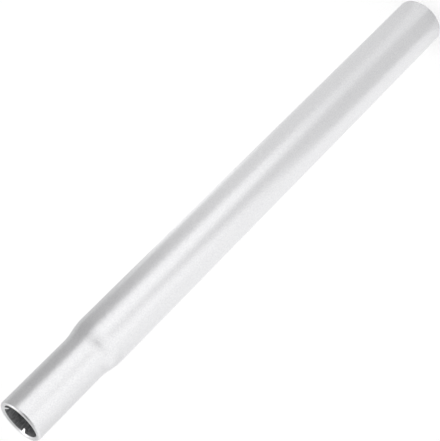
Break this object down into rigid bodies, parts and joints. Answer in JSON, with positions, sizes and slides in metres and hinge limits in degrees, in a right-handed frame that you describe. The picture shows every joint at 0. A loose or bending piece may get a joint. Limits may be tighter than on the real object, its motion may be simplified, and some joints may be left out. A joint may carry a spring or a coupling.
{
  "type": "bicycle seatpost",
  "caption": "Straight hollow aluminium seatpost: a round shank for the seat tube of a bicycle frame, swaged at the top to a narrower neck that takes a saddle clamp.",
  "frame": {"origin": "centre of the cut foot of the shank, on the surface that the post stands on", "axes": "+Z along the tube, from the foot to the open mouth of the neck; two of the ribs in the bore lie on +Y and -Y, and the third towards -X"},
  "size_m": [0.0254, 0.0254, 0.3],
  "materials": {
    "satin_aluminium": "bead-blasted and clear anodised, matt silver"
  },
  "bodies": {
    "root": {"seatpost": "satin_aluminium"}
  },
  "joints": []
}
